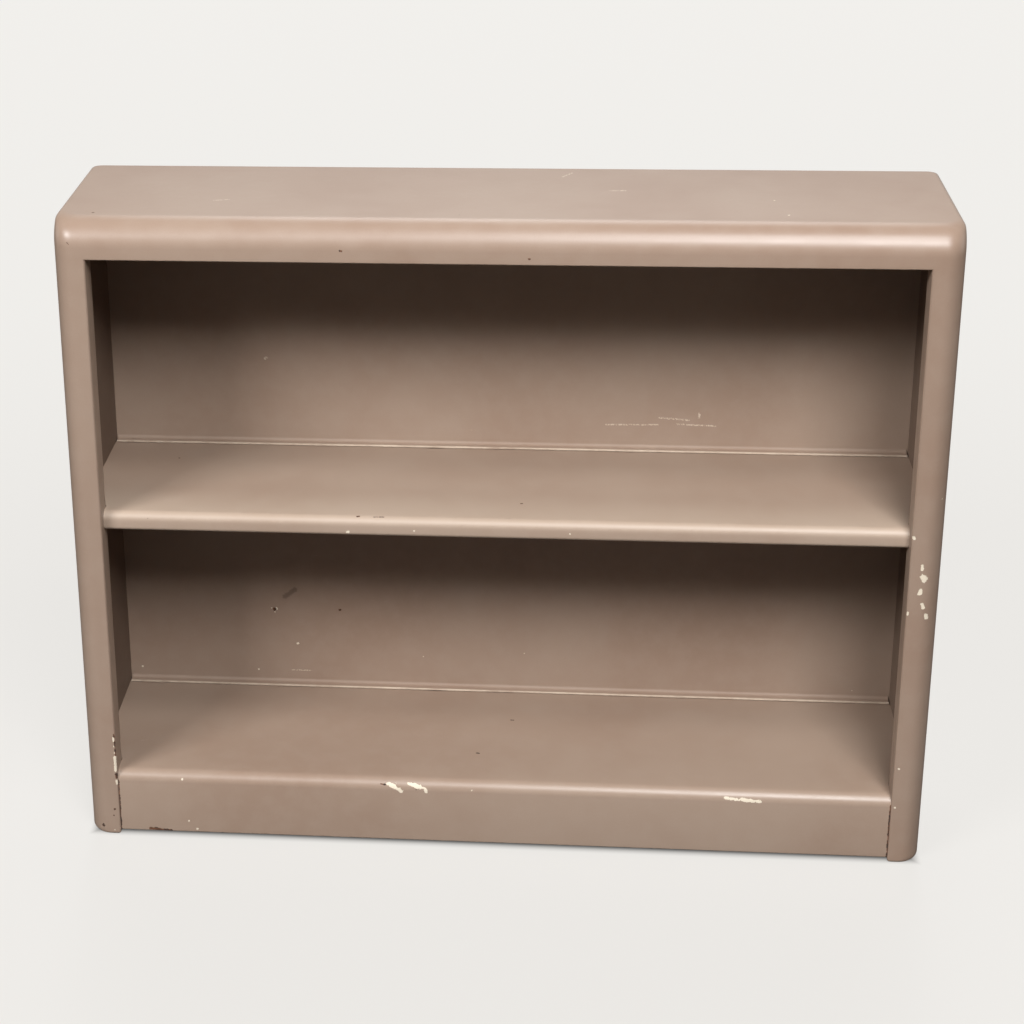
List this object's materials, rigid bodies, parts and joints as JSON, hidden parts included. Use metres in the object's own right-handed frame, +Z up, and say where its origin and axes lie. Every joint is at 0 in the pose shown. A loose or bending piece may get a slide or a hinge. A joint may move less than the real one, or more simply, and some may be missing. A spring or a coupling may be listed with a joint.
{
  "type": "low bookcase",
  "caption": "Low open bookcase in folded painted sheet steel, with rounded front posts, a fixed middle shelf, a closed back and a toe kick.",
  "frame": {"origin": "on the floor, under the middle of the case's width and depth", "axes": "+X to the case's right as seen from the open front, +Y from the front to the back, +Z up"},
  "size_m": [0.914, 0.218, 0.718],
  "materials": {
    "case_paint": "semi-gloss enamel, worn",
    "back_paint": "semi-gloss enamel, worn",
    "inner_paint": "semi-gloss enamel, worn",
    "foot_paint": "semi-gloss enamel, worn"
  },
  "bodies": {
    "root": {"top_cap": "case_paint", "top_channel": "inner_paint", "mid_shelf": "case_paint", "mid_shelf_channel": "inner_paint", "base_shelf": "case_paint", "base_shelf_channel": "inner_paint", "back_upper": "back_paint", "back_lower": "back_paint", "rear_rail": "inner_paint", "side_skin_left": "case_paint", "side_skin_right": "case_paint", "side_liner_left": "case_paint", "side_liner_right": "case_paint", "side_rib_left": "inner_paint", "side_rib_right": "inner_paint", "corner_splice_left": "inner_paint", "corner_splice_right": "inner_paint", "kick_clip_left": "inner_paint", "kick_clip_right": "inner_paint", "front_foot_left": "foot_paint", "front_foot_right": "foot_paint", "rear_foot_left": "inner_paint", "rear_foot_right": "inner_paint"}
  },
  "joints": []
}
